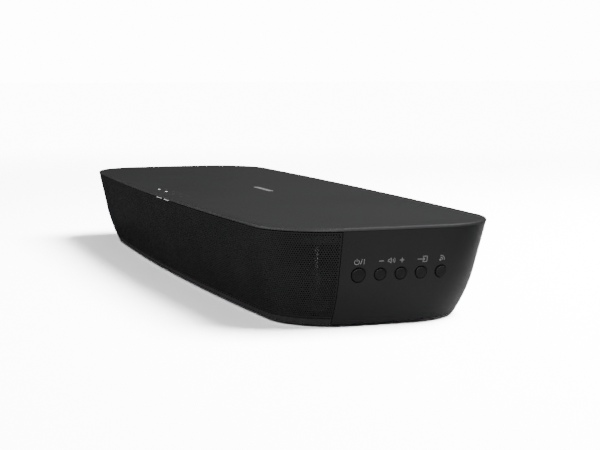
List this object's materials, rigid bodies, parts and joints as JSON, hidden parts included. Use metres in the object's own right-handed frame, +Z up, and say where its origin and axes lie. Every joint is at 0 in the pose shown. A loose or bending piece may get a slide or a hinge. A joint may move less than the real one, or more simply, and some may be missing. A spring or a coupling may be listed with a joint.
{
  "type": "soundbar",
  "caption": "Compact stereo soundbar with tapered black case, wrap-round perforated grille, end buttons, rear terminal bay and wall hangers",
  "frame": {"origin": "centre of the bounding box, on the plane the rubber feet stand on", "axes": "+X to the right seen from the front, -Y towards the listener (the grille), +Z up"},
  "size_m": [0.45, 0.136, 0.052],
  "materials": {
    "top_plastic": "fine moulded grain, charcoal",
    "grille_metal": "perforated sheet, black powder coat",
    "shell_plastic": "fine moulded grain, black",
    "base_plastic": "black moulded",
    "inner_plastic": "black moulded, unpainted",
    "badge_metal": "polished",
    "foot_rubber": "matt black",
    "hanger_steel": "zinc plated",
    "clear_plastic": "clear light pipe",
    "frame_steel": "stamped, black",
    "surround_rubber": "satin",
    "cone_paper": "coated paper",
    "coil_copper": "lacquered copper wire on a former",
    "spider_cloth": "impregnated cloth",
    "ferrite": "ferrite",
    "pole_steel": "zinc plated",
    "screw_steel": "plated",
    "board_green": "glass-fibre board, solder resist",
    "socket_steel": "tinned shell",
    "component_black": "moulded packages",
    "heat_aluminium": "anodised extrusion",
    "board_tan": "phenolic board",
    "transformer_yellow": "wrapped windings and cans",
    "pin_brass": "nickel plated",
    "cap_plastic": "black moulded, slightly dished",
    "plunger_white": "moulded",
    "lead_red": "insulated wire",
    "ribbon": "flat ribbon"
  },
  "bodies": {
    "cabinet": {"top_cover": "top_plastic", "front_grille": "grille_metal", "cabinet_shell": "shell_plastic", "bottom_cover": "base_plastic", "terminal_panel": "inner_plastic", "badge": "badge_metal", "rubber_feet": "foot_rubber", "wall_hangers": "hanger_steel", "led_lenses": "clear_plastic", "front_baffle": "inner_plastic", "grille_frame": "inner_plastic", "speaker_box_left": "inner_plastic", "speaker_box_right": "inner_plastic", "driver_frame_left": "frame_steel", "driver_frame_right": "frame_steel", "surround_left": "surround_rubber", "surround_right": "surround_rubber", "spider_left": "spider_cloth", "spider_right": "spider_cloth", "magnet_left": "ferrite", "magnet_right": "ferrite", "pole_pieces_left": "pole_steel", "pole_pieces_right": "pole_steel", "driver_screws": "screw_steel", "main_board": "board_green", "hdmi_socket": "socket_steel", "usb_socket": "socket_steel", "optical_socket": "component_black", "heat_sink": "heat_aluminium", "wireless_module": "socket_steel", "board_components": "component_black", "power_board": "board_tan", "power_components": "transformer_yellow", "ac_inlet": "component_black", "inlet_pins": "pin_brass", "button_board": "board_green", "tact_switches": "component_black", "indicator_board": "board_green", "ir_receiver": "component_black", "case_screws": "screw_steel", "board_screws": "screw_steel", "speaker_leads": "lead_red", "flat_cables": "ribbon"},
    "power_key": {"button_power": "cap_plastic", "plunger_power": "plunger_white"},
    "volume_down_key": {"button_volume_down": "cap_plastic", "plunger_volume_down": "plunger_white"},
    "volume_up_key": {"button_volume_up": "cap_plastic", "plunger_volume_up": "plunger_white"},
    "input_key": {"button_input": "cap_plastic", "plunger_input": "plunger_white"},
    "pairing_key": {"button_pairing": "cap_plastic", "plunger_pairing": "plunger_white"},
    "left_cone": {"cone_left": "cone_paper", "dust_cap_left": "cone_paper", "voice_coil_left": "coil_copper"},
    "right_cone": {"cone_right": "cone_paper", "dust_cap_right": "cone_paper", "voice_coil_right": "coil_copper"},
    "shutter": {"optical_shutter": "component_black"}
  },
  "joints": [
    {"name": "power_press", "type": "slide", "parent": "cabinet", "child": "power_key", "axis": [-1, 0, 0], "range_m": [0, 0.0006], "stiffness_N_per_m": 2500, "springref_m": -0.0002},
    {"name": "volume_down_press", "type": "slide", "parent": "cabinet", "child": "volume_down_key", "axis": [-1, 0, 0], "range_m": [0, 0.0006], "stiffness_N_per_m": 2500, "springref_m": -0.0002},
    {"name": "volume_up_press", "type": "slide", "parent": "cabinet", "child": "volume_up_key", "axis": [-1, 0, 0], "range_m": [0, 0.0006], "stiffness_N_per_m": 2500, "springref_m": -0.0002},
    {"name": "input_press", "type": "slide", "parent": "cabinet", "child": "input_key", "axis": [-1, 0, 0], "range_m": [0, 0.0006], "stiffness_N_per_m": 2500, "springref_m": -0.0002},
    {"name": "pairing_press", "type": "slide", "parent": "cabinet", "child": "pairing_key", "axis": [-1, 0, 0], "range_m": [0, 0.0006], "stiffness_N_per_m": 2500, "springref_m": -0.0002},
    {"name": "left_cone_stroke", "type": "slide", "parent": "cabinet", "child": "left_cone", "axis": [0, -1, 0], "range_m": [-0.002, 0.002], "stiffness_N_per_m": 1500, "deforming": ["surround_left", "spider_left"]},
    {"name": "right_cone_stroke", "type": "slide", "parent": "cabinet", "child": "right_cone", "axis": [0, -1, 0], "range_m": [-0.002, 0.002], "stiffness_N_per_m": 1500, "deforming": ["surround_right", "spider_right"]},
    {"name": "optical_shutter_hinge", "type": "hinge", "parent": "cabinet", "child": "shutter", "pos_m": [-0.044, 0.05073, 0.0219], "axis": [-1, 0, 0], "range_deg": [0, 80], "stiffness_Nm_per_rad": 0.0005, "springref_deg": -5.73}
  ]
}
